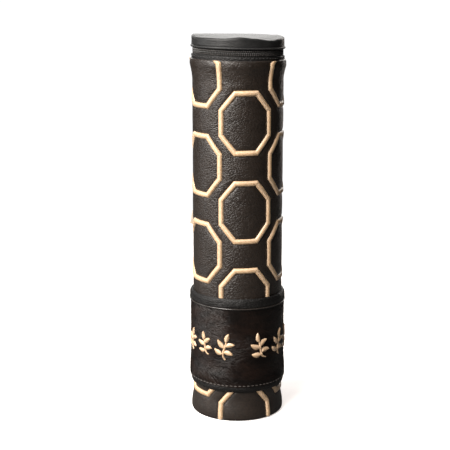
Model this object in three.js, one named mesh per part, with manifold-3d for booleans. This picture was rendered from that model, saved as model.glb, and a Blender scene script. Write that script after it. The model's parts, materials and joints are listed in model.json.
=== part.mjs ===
// A standing scroll case: a stiff lined tube covered in two leather panels, a hair-on-hide band round
// its foot, and a shallow lid that zips shut all round and stays joined by a leather hinge at the back.
// Millimetres, +Z up, origin at the centre of the base. Azimuth 0 is the front (-Y), 90 is +X.
import * as THREE from "three";
import { mergeVertices } from "three/addons/utils/BufferGeometryUtils.js";
import Module from "manifold-3d";

const wasm = await Module();
wasm.setup();

// Overall sizes
const CASE_RADIUS = 35; // outside of the leather on the plain body
const CASE_HEIGHT = 281.4; // top edge of the folded body leather
const LID_HEIGHT = 9.4; // lid, above its lower lip
const FIT = 0.3; // gap kept between pieces that touch
const FACET = 7.5; // degrees of arc in one flat of a round piece

// Walls
const LEATHER = 1.3;
const TUBE_WALL = 1.7;
const LINING = 0.6;
const SOLE = 1.2;
const BOARD = 2;
const PAD = 0.8;

// Panels, hem and foot
const PANEL_MEET = 56.7; // the two panels meet here, under the band
const HEM_STAND = 2; // the top hem stands out over the collar
const HEM_LEATHER = 0.95; // skived leather of the hem
const HEM_PEAK = 4.4; // widest line of the hem, below the top edge
const HEM_FLARE = 11; // height over which the leather flares out
const FOOT_STAND = 1.6; // the foot roll stands out this far
const FOOT_HEIGHT = 18;
const TURN_UNDER = 4; // leather turned under the base, inside the wall line
const PANEL_SEAM = -103.6; // azimuth of the panels' seam
const SEAM_SLIT = 0.4;

// Band round the foot
const BAND_LOW = 24;
const BAND_HIGH = 99.8;
const BAND_HIDE = 1.6; // hide with its backing
const BAND_BULGE = 1.1; // swell near its lower edge
const TOP_BINDING = 7.8;
const FOOT_BINDING = 5;
const TOP_BINDING_STAND = 1; // beyond the hide
const BAND_SEAM = 180;

// Zip: a nylon coil on woven tape, in the gap between two leather lips
const COLLAR_SHOWS = 3.2; // collar seen above the hem
const COLLAR_TUCK = 3.8; // collar hidden behind the hem
const LIP_GAP = 5;
const TAPE = 0.45;
const TAPE_TUCK = 7.6; // lower tape hidden behind the collar
const COIL_PITCH = 1.55;
const COIL_HALF = 2.1; // half the width of the closed chain
const COIL_DEPTH = 1; // radial thickness
const COIL_CROSS = 0.35; // each tooth crosses the middle by this
const TUBE_BELOW_COIL = 0.9; // the tube stops this far under the chain
const LINING_ABOVE_COIL = 0.7; // the lid's lining stops this far over it
const TAPE_END = 158; // azimuth where the tapes stop, each side
const CHAIN_END = 150; // azimuth where the coils stop, each side
const STOP_AZIMUTH = 155.5;
const STOP_LENGTH = 2;
const STOP_STANDS = 0.2; // proud of the coil, on its inside

// Lid
const FLANGE_STAND = 1.3; // the lid's lip, beyond the body radius
const FLANGE_HEIGHT = 1.9;
const LID_STAND = 0.6; // the lid's wall, beyond the body radius
const LID_CROWN = 1.7; // height of the domed top piece
const LID_BOARD = 1.5;
const LID_LINING = 0.7;
const LINING_WALL = 0.7;

// Hinge
const HINGE_HALF = 20; // degrees each side of the back
const HINGE_LEATHER = 0.7;
const HINGE_COVER = 7.4; // how far the upper leaf reaches over the lid
const HINGE_RISE = 0.5; // the bend is this far above the middle of the zip

// Slider and pull
const SLIDER_AZIMUTH = 145;
const SLIDER_LENGTH = 9;
const SLIDER_SHOULDER = 3; // half width at the wide end
const SLIDER_TAIL = 2.5; // half width at the narrow end
const SLIDER_PLATE = 0.9;
const NECK_LENGTH = 8;
const BRIDGE_BAR = 0.6; // radius of the bar that carries the pull
const BRIDGE_HALF = 3.1;
const BRIDGE_FOOT = 1;
const EYE_WALL = 0.55;
const PULL_THICK = 0.9;
const PULL_LENGTH = 21;
const PULL_HALF = 2.8;
const PULL_SLOT = 1.2; // half width of the slot in the pull

const TAG_LOW = 150;
const TAG_HEIGHT = 11;
const TAG_STANDS = 2.9;
const TAG_THICK = 1;

// Radii of the layers, from the leather inwards
const panelIn = CASE_RADIUS - LEATHER;
const tubeOut = panelIn - FIT;
const tubeIn = tubeOut - TUBE_WALL;
const liningOut = tubeIn - FIT;
const liningIn = liningOut - LINING;
const tapeIn = tubeOut + FIT;
const tapeOut = tapeIn + TAPE;
const lipIn = tapeOut + FIT;
const collarOut = lipIn + LEATHER;
const hemIn = collarOut + FIT;
const hemOut = Math.max(CASE_RADIUS + HEM_STAND, hemIn + HEM_LEATHER);
const bandIn = CASE_RADIUS + FIT;
const bandOut = bandIn + BAND_HIDE;
const bindingOut = bandOut + TOP_BINDING_STAND;
const flangeOut = Math.max(CASE_RADIUS + FLANGE_STAND, lipIn + LEATHER);
const lidOut = Math.max(CASE_RADIUS + LID_STAND, lipIn + 1.1);
const coilOut = tapeOut;
const coilIn = coilOut - COIL_DEPTH;
const outermost = Math.max(flangeOut, collarOut, hemOut - HEM_LEATHER);
const hingeIn = outermost + FIT;
const hingeOut = hingeIn + HINGE_LEATHER;

// Heights of the layers, from the floor upwards
const boardLow = SOLE + FIT;
const boardHigh = boardLow + BOARD;
const padHigh = boardHigh + FIT + PAD;
const lipLow = CASE_HEIGHT + COLLAR_SHOWS;
const zipZ = lipLow + LIP_GAP / 2;
const lipHigh = lipLow + LIP_GAP;
const tubeHigh = zipZ - COIL_HALF - TUBE_BELOW_COIL;
const hingeZ = zipZ + HINGE_RISE;
const wallLow = lipHigh + FLANGE_HEIGHT + FIT;
const crownLow = lipHigh + LID_HEIGHT - LID_CROWN;
const wallHigh = crownLow - FIT;
const lidBoardLow = wallHigh - LID_BOARD;
const lidLiningHigh = lidBoardLow - FIT;

const materials = {
  leather: new THREE.MeshStandardMaterial({ color: 0x37302d, roughness: 0.55 }),
  lidLeather: new THREE.MeshStandardMaterial({ color: 0x2c2b2b, roughness: 0.4 }),
  hide: new THREE.MeshStandardMaterial({ color: 0x1d1513, roughness: 0.7 }),
  board: new THREE.MeshStandardMaterial({ color: 0x8b7a62, roughness: 0.9 }),
  velvet: new THREE.MeshStandardMaterial({ color: 0x4a1420, roughness: 0.95 }),
  tape: new THREE.MeshStandardMaterial({ color: 0x1c1b1b, roughness: 0.85 }),
  nylon: new THREE.MeshStandardMaterial({ color: 0x242323, roughness: 0.45 }),
  metal: new THREE.MeshStandardMaterial({ color: 0x6d6a66, roughness: 0.35, metalness: 1 }),
  ribbon: new THREE.MeshStandardMaterial({ color: 0xb7a897, roughness: 0.8 }),
};

const radians = THREE.MathUtils.degToRad;

function solidOf(geometry) {
  const bare = geometry.clone();
  bare.deleteAttribute("normal");
  bare.deleteAttribute("uv");
  const merged = mergeVertices(bare, 1e-4);
  return new wasm.Manifold(
    new wasm.Mesh({
      numProp: 3,
      vertProperties: merged.attributes.position.array,
      triVerts: new Uint32Array(merged.index.array),
    }),
  );
}

function geometryOf(solid) {
  const made = solid.getMesh();
  const indexed = new THREE.BufferGeometry();
  indexed.setAttribute("position", new THREE.BufferAttribute(made.vertProperties, 3));
  indexed.setIndex(new THREE.BufferAttribute(made.triVerts, 1));
  const flat = indexed.toNonIndexed();
  flat.computeVertexNormals();
  return flat;
}

function join(...geometries) {
  return geometryOf(geometries.map(solidOf).reduce((whole, piece) => whole.add(piece)));
}

function cut(geometry, ...tools) {
  return geometryOf(tools.map(solidOf).reduce((whole, tool) => whole.subtract(tool), solidOf(geometry)));
}

// A piece turned about Z. Its section's points, [radius, height], run up the outside and down the inside.
function turned(section, closed = true) {
  const points = section.map(([radius, height]) => new THREE.Vector2(radius, height));
  if (closed) points.push(points[0].clone());
  return new THREE.LatheGeometry(points, 360 / FACET).rotateX(Math.PI / 2);
}

function disc(radius, low, high) {
  return turned([[0, low], [radius, low], [radius, high], [0, high]], false);
}

function ring(inner, outer, low, high) {
  return turned([[outer, low], [outer, high], [inner, high], [inner, low]]);
}

// Part of a ring, centred on an azimuth.
function arcWall(inner, outer, low, high, azimuth, half) {
  const from = radians(azimuth - half - 90);
  const to = radians(azimuth + half - 90);
  const outline = new THREE.Shape();
  outline.absarc(0, 0, outer, from, to, false);
  outline.absarc(0, 0, inner, to, from, true);
  outline.closePath();
  const curveSegments = Math.max(2, Math.round(half / FACET));
  const wall = new THREE.ExtrudeGeometry(outline, { depth: high - low, bevelEnabled: false, curveSegments });
  return wall.translate(0, 0, low);
}

// A block that stands on a radius at an azimuth; its width runs along the tangent.
function block(inner, outer, width, low, high, azimuth) {
  const box = new THREE.BoxGeometry(width, outer - inner, high - low);
  return box.translate(0, -(inner + outer) / 2, (low + high) / 2).rotateZ(radians(azimuth));
}

// An outline in the tangent and height directions, given thickness outwards from a radius.
function plateAt(radius, thickness, outline) {
  const plate = new THREE.ExtrudeGeometry(outline, { depth: thickness, bevelEnabled: false, curveSegments: 4 });
  return plate.rotateX(Math.PI / 2).translate(0, -radius, 0);
}

function slit(piece, reach, low, high, azimuth) {
  return cut(piece, block(CASE_RADIUS - reach, CASE_RADIUS + reach, SEAM_SLIT, low, high, azimuth));
}

// ---- Tube and base

function baseSole() {
  return disc(panelIn - TURN_UNDER, 0, SOLE);
}

function baseBoard() {
  return disc(tubeIn - FIT, boardLow, boardHigh);
}

function basePad() {
  return disc(tubeIn - FIT, boardHigh + FIT, padHigh);
}

// ---- Leather panels

// The lower panel rolls out over the foot and turns in under the base.
function lowerPanel() {
  const high = PANEL_MEET - FIT / 2;
  const foot = CASE_RADIUS + FOOT_STAND;
  const section = [
    [panelIn - TURN_UNDER + FIT, FIT],
    [panelIn, FIT],
    [foot - 1.2, 0.9],
    [foot - 0.2, 2.2],
    [foot, 4],
    [foot - 0.25 * FOOT_STAND, FOOT_HEIGHT * 0.45],
    [foot - 0.5 * FOOT_STAND, FOOT_HEIGHT * 0.67],
    [CASE_RADIUS, FOOT_HEIGHT],
    [CASE_RADIUS, high],
    [panelIn, high],
    [panelIn, SOLE],
    [panelIn - TURN_UNDER + FIT, SOLE],
  ];
  return slit(turned(section), 12, -1, high + 1, PANEL_SEAM);
}

// The upper panel flares out over the collar and ends in a folded edge.
function upperPanel() {
  const low = PANEL_MEET + FIT / 2;
  const peak = CASE_HEIGHT - HEM_PEAK;
  const flareLow = peak - HEM_FLARE;
  const steps = 4;
  const section = [[CASE_RADIUS, low]];
  for (let i = 0; i <= steps; i += 1) {
    const share = i / steps;
    section.push([CASE_RADIUS + (hemOut - CASE_RADIUS) * share ** 1.5, flareLow + HEM_FLARE * share]);
  }
  section.push([hemOut - 0.15, CASE_HEIGHT - 1.8], [hemOut - 0.45, CASE_HEIGHT - 0.4]);
  section.push([hemIn + 0.15, CASE_HEIGHT], [hemIn, CASE_HEIGHT - 0.3]);
  for (let i = steps; i >= 0; i -= 1) {
    const share = i / steps;
    section.push([panelIn + (hemIn - panelIn) * share ** 1.5, flareLow + HEM_FLARE * share]);
  }
  section.push([panelIn, low]);
  return slit(turned(section), 12, low - 1, CASE_HEIGHT + 1, PANEL_SEAM);
}

function seamTag() {
  const inner = CASE_RADIUS + FIT;
  return block(inner, inner + TAG_STANDS, TAG_THICK, TAG_LOW, TAG_LOW + TAG_HEIGHT, PANEL_SEAM);
}

// ---- Band round the foot

function hideBand() {
  const low = BAND_LOW + FOOT_BINDING + FIT;
  const high = BAND_HIGH - TOP_BINDING - FIT;
  const rise = (high - low) / 6;
  const section = [
    [bandOut + 0.4 * BAND_BULGE, low],
    [bandOut + BAND_BULGE, low + 0.5 * rise],
    [bandOut + 0.7 * BAND_BULGE, low + rise],
    [bandOut + 0.2 * BAND_BULGE, low + 2 * rise],
    [bandOut, low + 3 * rise],
    [bandOut, high],
    [bandIn, high],
    [bandIn, low],
  ];
  return slit(turned(section), 6, low - 1, high + 1, BAND_SEAM);
}

function bandTopBinding() {
  const low = BAND_HIGH - TOP_BINDING;
  const section = [
    [bindingOut - 0.5, low],
    [bindingOut, low + 1.2],
    [bindingOut, BAND_HIGH - 2],
    [bindingOut - 0.6, BAND_HIGH - 0.5],
    [bindingOut - 1.5, BAND_HIGH],
    [bandIn, BAND_HIGH],
    [bandIn, low],
  ];
  return slit(turned(section), 6, low - 1, BAND_HIGH + 1, BAND_SEAM);
}

function bandFootBinding() {
  const high = BAND_LOW + FOOT_BINDING;
  const section = [
    [bandOut - 0.7, BAND_LOW],
    [bandOut - 0.1, BAND_LOW + 1],
    [bandOut + 0.3, high - 1.5],
    [bandOut + 0.3, high],
    [bandIn, high],
    [bandIn, BAND_LOW],
  ];
  return slit(turned(section), 6, BAND_LOW - 1, high + 1, BAND_SEAM);
}

// ---- Zip

// The leather strip that carries the lower half of the zip, tucked behind the hem.
function collar() {
  const low = CASE_HEIGHT - COLLAR_TUCK;
  return turned([
    [collarOut, low],
    [collarOut, lipLow - 0.8],
    [collarOut - 0.4, lipLow],
    [lipIn, lipLow],
    [lipIn, low],
  ]);
}

function zipTape(side) {
  const near = zipZ + side * (COIL_HALF + FIT);
  const far = side > 0 ? wallHigh - FIT : near - TAPE_TUCK;
  return arcWall(tapeIn, tapeOut, Math.min(near, far), Math.max(near, far), 0, TAPE_END);
}

// Half of the chain: a band of coil with one tooth each pitch, which crosses to the other half's gaps.
function zipCoil(side) {
  const root = zipZ + side * (COIL_CROSS + FIT);
  const edge = zipZ + side * COIL_HALF;
  const tip = zipZ - side * COIL_CROSS;
  const step = THREE.MathUtils.radToDeg(COIL_PITCH / coilOut);
  const tooth = COIL_PITCH / 2 - FIT;
  const first = -CHAIN_END + (side > 0 ? 1 : 0.5) * step;
  const teeth = Math.floor((2 * CHAIN_END) / step) - 1;
  const inset = 0.05;
  const pieces = [arcWall(coilIn, coilOut, Math.min(root, edge), Math.max(root, edge), 0, CHAIN_END)];
  for (let i = 0; i < teeth; i += 1) {
    const buried = root + side * FIT;
    const low = Math.min(tip, buried);
    const high = Math.max(tip, buried);
    pieces.push(block(coilIn + inset, coilOut - inset, tooth, low, high, first + i * step));
  }
  return join(...pieces);
}

// A crimped metal stop on one tape, or the taller one that ends both.
function zipStop(low, high, azimuth) {
  return block(coilIn - STOP_STANDS, coilOut, STOP_LENGTH, low, high, azimuth);
}

// ---- Lid

function lidFlange() {
  return turned([
    [flangeOut - 0.3, lipHigh],
    [flangeOut, lipHigh + 0.4],
    [flangeOut, lipHigh + FLANGE_HEIGHT - 0.4],
    [flangeOut - 0.3, lipHigh + FLANGE_HEIGHT],
    [lipIn, lipHigh + FLANGE_HEIGHT],
    [lipIn, lipHigh],
  ]);
}

function lidWall() {
  return turned([
    [lidOut, wallLow],
    [lidOut, wallHigh - 0.8],
    [lidOut - 0.3, wallHigh],
    [lipIn, wallHigh],
    [lipIn, wallLow],
  ]);
}

function lidTop() {
  return turned(
    [
      [0, crownLow],
      [lidOut - 1.2, crownLow],
      [lidOut - 0.4, crownLow + 0.4],
      [lidOut - 1, crownLow + 1.1],
      [lidOut * 0.85, crownLow + 0.76 * LID_CROWN],
      [lidOut * 0.45, crownLow + 0.95 * LID_CROWN],
      [0, crownLow + LID_CROWN],
    ],
    false,
  );
}

function lidBoard() {
  return disc(tapeIn - FIT, lidBoardLow, wallHigh);
}

function lidLining() {
  const outer = tapeIn - FIT;
  const low = zipZ + COIL_HALF + LINING_ABOVE_COIL;
  const ceiling = lidLiningHigh - LID_LINING;
  return turned(
    [
      [0, ceiling],
      [outer - LINING_WALL, ceiling],
      [outer - LINING_WALL, low],
      [outer, low],
      [outer, lidLiningHigh],
      [0, lidLiningHigh],
    ],
    false,
  );
}

// ---- Hinge: one leather strip in two leaves, which bends between them

function hingeLowerLeaf() {
  return arcWall(hingeIn, hingeOut, CASE_HEIGHT + FIT, hingeZ - FIT, 180, HINGE_HALF);
}

function hingeUpperLeaf() {
  return arcWall(hingeIn, hingeOut, hingeZ + FIT, hingeZ + HINGE_COVER, 180, HINGE_HALF);
}

// ---- Slider and pull, made at the front and turned to their place

const neckIn = coilOut + 0.45;
const plateIn = Math.max(flangeOut, collarOut, hemOut - HEM_LEATHER) + 0.35;
const plateOut = plateIn + SLIDER_PLATE;
const eyeIn = BRIDGE_BAR + FIT;
const eyeOut = eyeIn + EYE_WALL;
const pivotR = plateOut + FIT + eyeOut;

function zipSlider() {
  const half = SLIDER_LENGTH / 2;
  const outline = new THREE.Shape();
  outline.moveTo(-half, -SLIDER_TAIL + 0.8);
  outline.lineTo(-half + 0.8, -SLIDER_TAIL);
  outline.lineTo(half - 2.5, -SLIDER_SHOULDER);
  outline.lineTo(half - 0.8, -SLIDER_SHOULDER + 0.5);
  outline.quadraticCurveTo(half + 0.3, 0, half - 0.8, SLIDER_SHOULDER - 0.5);
  outline.lineTo(half - 2.5, SLIDER_SHOULDER);
  outline.lineTo(-half + 0.8, SLIDER_TAIL);
  outline.lineTo(-half, SLIDER_TAIL - 0.8);
  outline.closePath();
  const neckHalf = LIP_GAP / 2 - FIT;
  const plate = plateAt(plateIn, SLIDER_PLATE, outline);
  const neck = block(neckIn, plateIn + 0.2, NECK_LENGTH, -neckHalf, neckHalf, 0);
  const bar = new THREE.CylinderGeometry(BRIDGE_BAR, BRIDGE_BAR, 2 * BRIDGE_HALF - BRIDGE_FOOT, 12);
  bar.rotateZ(Math.PI / 2).translate(0, -pivotR, 0);
  const feet = [-1, 1].map((side) => {
    const foot = block(plateOut - 0.2, pivotR + BRIDGE_BAR, BRIDGE_FOOT, -0.8, 0.8, 0);
    return foot.translate(side * (BRIDGE_HALF - BRIDGE_FOOT / 2), 0, 0);
  });
  return join(plate, neck, bar, ...feet).translate(0, 0, zipZ).rotateZ(radians(SLIDER_AZIMUTH));
}

// The pull's top end is curled round the bridge bar; it hangs down, with a slot near its end.
function zipPull() {
  const eyeHalf = BRIDGE_HALF - BRIDGE_FOOT - 0.4;
  const eyeRing = new THREE.Shape();
  eyeRing.absarc(0, 0, eyeOut, 0, 2 * Math.PI, false);
  eyeRing.holes.push(new THREE.Path().absarc(0, 0, eyeIn, 0, 2 * Math.PI, true));
  const eye = new THREE.ExtrudeGeometry(eyeRing, { depth: 2 * eyeHalf, bevelEnabled: false, curveSegments: 8 });
  eye.translate(0, 0, -eyeHalf).rotateY(Math.PI / 2).translate(0, -pivotR, 0);
  const top = -(eyeIn + 0.2);
  const end = -PULL_LENGTH;
  const outline = new THREE.Shape();
  outline.moveTo(-eyeHalf, top);
  outline.lineTo(-eyeHalf, -3.2);
  outline.lineTo(-PULL_HALF, -7);
  outline.lineTo(-PULL_HALF, end + PULL_HALF);
  outline.absarc(0, end + PULL_HALF, PULL_HALF, Math.PI, 2 * Math.PI, false);
  outline.lineTo(PULL_HALF, -7);
  outline.lineTo(eyeHalf, -3.2);
  outline.lineTo(eyeHalf, top);
  outline.closePath();
  const slot = new THREE.Path();
  slot.absarc(0, end + PULL_HALF, PULL_SLOT, 0, Math.PI, true);
  slot.absarc(0, -9.5, PULL_SLOT, Math.PI, 0, true);
  slot.closePath();
  outline.holes.push(slot);
  const tab = plateAt(pivotR - PULL_THICK / 2, PULL_THICK, outline);
  return join(eye, tab).translate(0, 0, zipZ).rotateZ(radians(SLIDER_AZIMUTH));
}

// ---- Assembly

const scrollCase = new THREE.Group();

function add(name, geometry, material) {
  const mesh = new THREE.Mesh(geometry, material);
  mesh.name = name;
  scrollCase.add(mesh);
}

add("base_sole", baseSole(), materials.leather);
add("base_board", baseBoard(), materials.board);
add("base_pad", basePad(), materials.velvet);
add("inner_tube", ring(tubeIn, tubeOut, boardLow, tubeHigh), materials.board);
add("tube_lining", ring(liningIn, liningOut, padHigh + FIT, tubeHigh), materials.velvet);
add("lower_panel", lowerPanel(), materials.leather);
add("upper_panel", upperPanel(), materials.leather);
add("seam_tag", seamTag(), materials.ribbon);
add("hide_band", hideBand(), materials.hide);
add("band_top_binding", bandTopBinding(), materials.leather);
add("band_foot_binding", bandFootBinding(), materials.leather);
add("collar", collar(), materials.leather);
add("lower_zip_tape", zipTape(-1), materials.tape);
add("lower_zip_coil", zipCoil(-1), materials.nylon);
add("zip_bottom_stop", zipStop(zipZ - COIL_HALF, zipZ + COIL_HALF - FIT, -STOP_AZIMUTH), materials.metal);
add("lower_top_stop", zipStop(zipZ - COIL_HALF, zipZ - FIT, STOP_AZIMUTH), materials.metal);
add("hinge_lower_leaf", hingeLowerLeaf(), materials.leather);

add("lid_flange", lidFlange(), materials.lidLeather);
add("lid_wall", lidWall(), materials.lidLeather);
add("lid_top", lidTop(), materials.lidLeather);
add("lid_board", lidBoard(), materials.board);
add("lid_lining", lidLining(), materials.velvet);
add("upper_zip_tape", zipTape(1), materials.tape);
add("upper_zip_coil", zipCoil(1), materials.nylon);
add("upper_top_stop", zipStop(zipZ + FIT, zipZ + COIL_HALF, STOP_AZIMUTH), materials.metal);
add("hinge_upper_leaf", hingeUpperLeaf(), materials.lidLeather);

add("zip_slider", zipSlider(), materials.metal);
add("zip_pull", zipPull(), materials.metal);

export default scrollCase;
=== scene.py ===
import json
import math
import random

import bmesh
import bpy
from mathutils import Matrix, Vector, noise


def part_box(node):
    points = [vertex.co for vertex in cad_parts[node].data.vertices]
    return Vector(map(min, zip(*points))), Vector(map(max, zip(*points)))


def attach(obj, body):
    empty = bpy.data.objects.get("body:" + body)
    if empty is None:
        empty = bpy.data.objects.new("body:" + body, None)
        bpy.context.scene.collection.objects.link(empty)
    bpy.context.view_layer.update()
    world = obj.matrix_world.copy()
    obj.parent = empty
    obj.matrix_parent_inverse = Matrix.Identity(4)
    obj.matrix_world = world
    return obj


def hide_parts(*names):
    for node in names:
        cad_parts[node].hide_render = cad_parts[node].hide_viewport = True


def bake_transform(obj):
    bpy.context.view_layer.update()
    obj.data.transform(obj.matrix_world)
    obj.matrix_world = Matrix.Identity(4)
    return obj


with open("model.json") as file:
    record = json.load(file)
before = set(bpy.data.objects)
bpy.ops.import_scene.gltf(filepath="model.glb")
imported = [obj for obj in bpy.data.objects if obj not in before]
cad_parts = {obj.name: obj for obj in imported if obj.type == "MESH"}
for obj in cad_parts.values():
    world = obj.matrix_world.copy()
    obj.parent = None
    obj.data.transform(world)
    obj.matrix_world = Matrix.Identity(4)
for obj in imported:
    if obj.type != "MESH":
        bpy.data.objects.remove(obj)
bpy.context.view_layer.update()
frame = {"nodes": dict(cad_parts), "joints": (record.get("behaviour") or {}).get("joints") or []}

bl_info = {
    "name": "Leather Scroll Case",
    "version": (1, 0, 0),
    "blender": (4, 5, 0),
    "location": "View3D > Sidebar > Scroll Case",
    "description": "Leather, hide, embroidery, zip and soft lid of a standing scroll case",
    "category": "Object",
}

MM = 0.001  # pieces are modelled in millimetres and scaled to metres as they are finished


# ---------------------------------------------------------------- places taken from the frame


def span(node):
    """Outer radius, lowest and highest point of a round CAD node, in millimetres."""
    low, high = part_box(node)
    return high.x / MM, low.z / MM, high.z / MM


def joint(name):
    return next(j for j in frame["joints"] if j["name"] == name)


def point_mm(values):
    return Vector(values) / MM


TUBE_OUT, TUBE_LOW, TUBE_HIGH = span("inner_tube")
HEM_OUT, PANEL_LOW, CASE_TOP = span("upper_panel")
FOOT_OUT, FOOT_LOW, PANEL_MEET = span("lower_panel")
BINDING_OUT, BINDING_LOW, BAND_TOP = span("band_top_binding")
HIDE_OUT, HIDE_LOW, HIDE_HIGH = span("hide_band")
FOOT_BINDING_OUT, BAND_LOW, FOOT_BINDING_HIGH = span("band_foot_binding")
COLLAR_OUT, COLLAR_LOW, COLLAR_HIGH = span("collar")
FLANGE_OUT, FLANGE_LOW, FLANGE_HIGH = span("lid_flange")
LID_OUT, LID_LOW, _ = span("lid_wall")
PAD_OUT, PAD_LOW, PAD_HIGH = span("base_pad")
SOLE_OUT, _, SOLE_HIGH = span("base_sole")
CROWN_LOW = span("lid_top")[1]
LINING_OUT = span("tube_lining")[0]
ZIP_PLANE = (COLLAR_HIGH + FLANGE_LOW) / 2
HINGE = point_mm(joint("lid_hinge")["pos_m"])
PULL_PIVOT = point_mm(joint("pull_swing")["pos_m"])
PIVOT_OUT = math.hypot(PULL_PIVOT.x, PULL_PIVOT.y)
SLIDER_AZIMUTH = math.degrees(math.atan2(PULL_PIVOT.x, -PULL_PIVOT.y))
PANEL_BUILD = 1.6  # leather and glue over the tube
BODY_R = TUBE_OUT + PANEL_BUILD
BAND_IN = BODY_R + 0.3  # inner face of the hide and its bindings
BAND_SKIN = BODY_R + 0.8  # everything on the band past this radius is its outer skin
PANEL_IN = TUBE_OUT + 0.3  # inner face of the panels and the zip tapes
WELD = 1e-4  # points closer than this are merged


# ---------------------------------------------------------------- colours and settings


def linear(code):
    """A six-figure sRGB hex colour as linear values."""
    parts = [int(code[i : i + 2], 16) / 255 for i in (0, 2, 4)]
    bright = [c / 12.92 if c <= 0.04045 else ((c + 0.055) / 1.055) ** 2.4 for c in parts]
    return (*bright, 1.0)


def colour(label, code):
    return bpy.props.FloatVectorProperty(
        name=label, description=f"Base colour of the {label.lower()}", size=4, subtype="COLOR",
        min=0, max=1, default=linear(code),
    )


def length(label, words, default):
    words += ", in millimetres"
    return bpy.props.FloatProperty(name=label, description=words, default=default)


def angle(label, words, default):
    return bpy.props.FloatProperty(name=label, description=words + ", in degrees", default=default)


class ScrollCaseColours(bpy.types.PropertyGroup):
    leather: colour("Panel leather", "201812")
    strip: colour("Strip leather", "0d0b0a")
    lid: colour("Lid leather", "232323")
    hide: colour("Hide", "0e0806")
    hair: colour("Hair", "170e0a")
    thread: colour("Gold thread", "d2b08a")
    velvet: colour("Velvet", "4a1420")
    board: colour("Board", "8b7a62")
    tape: colour("Zip tape", "141312")
    nylon: colour("Zip coil", "2e2d2c")
    metal: colour("Zip metal", "8c8780")
    ribbon: colour("Ribbon", "b9a997")
    floor: colour("Floor", "f4f3f1")


class ScrollCaseSizes(bpy.types.PropertyGroup):
    octagon_width: length("Octagon width", "Across an octagon, outside the stitching", 43.8)
    octagon_height: length("Octagon height", "Up an octagon, outside the stitching", 49.4)
    octagon_flat: length("Octagon flat", "Length of its top and bottom bars", 19.0)
    octagon_side: length("Octagon side", "Length of its upright bars", 20.2)
    bar_width: length("Bar width", "Width of the satin-stitch bars", 4.5)
    bar_height: length("Bar height", "How far the bars stand off the leather", 0.85)
    column_pitch: angle("Column pitch", "From one column of octagons to the next", 66.3)
    first_column: angle("First column", "Azimuth of the column next to the seam", -56.2)
    row_pitch: length("Row pitch", "From one octagon to the one below", 67.9)
    top_row: length("Top row", "Top of the highest whole octagon", 259.7)
    pillow: length("Pillow", "Swell of the leather between the bars", 0.35)
    hair_length: length("Hair length", "Length of the hide's hair", 9.0)
    lid_lean: bpy.props.FloatProperty(
        name="Lean", description="Drop of the top to the right, as a slope", default=0.024
    )
    hair_count: bpy.props.IntProperty(
        name="Hairs", description="Number of hair locks on the hide", default=18000
    )


def sizes():
    return bpy.context.scene.scroll_case_sizes


def colours():
    return bpy.context.scene.scroll_case_colours


# ---------------------------------------------------------------- materials


def feed(tree, node, **inputs):
    """Gives a node's inputs a value, a socket, or a node whose first output feeds them."""
    for name, value in inputs.items():
        key = int(name[1:]) if name[0] == "_" else name.replace("_", " ")
        if isinstance(value, bpy.types.Node):
            value = value.outputs[0]
        if isinstance(value, bpy.types.NodeSocket):
            tree.links.new(value, node.inputs[key])
        else:
            node.inputs[key].default_value = value


def add(tree, kind, settings=None, **inputs):
    """Adds a shader node with its settings and links; "stops" fills a colour ramp."""
    made = tree.nodes.new("ShaderNode" + kind)
    for name, value in (settings or {}).items():
        if name != "stops":
            setattr(made, name, value)
            continue
        elements = made.color_ramp.elements
        while len(elements) < len(value):
            elements.new(0.5)
        for element, (place, shade) in zip(elements, value):
            element.position = place
            element.color = shade
    feed(tree, made, **inputs)
    return made


def new_material(name):
    """A material whose principled shader feeds its output."""
    material = bpy.data.materials.new(name)
    material.use_nodes = True
    tree = material.node_tree
    tree.nodes.clear()
    surface = add(tree, "BsdfPrincipled")
    add(tree, "OutputMaterial", Surface=surface)
    return material, tree, surface


def object_pattern(tree, tall=1):
    """Where a pattern lies on the piece; tall squashes it along the height."""
    place = add(tree, "TexCoord")
    return add(tree, "Mapping", Vector=place.outputs["Object"], Scale=(1, 1, tall))


def grey(value):
    return (value, value, value, 1)


def darker(shade, factor):
    return tuple(c * factor for c in shade[:3]) + (1,)


MULTIPLY = {"data_type": "RGBA", "blend_type": "MULTIPLY"}


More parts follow.
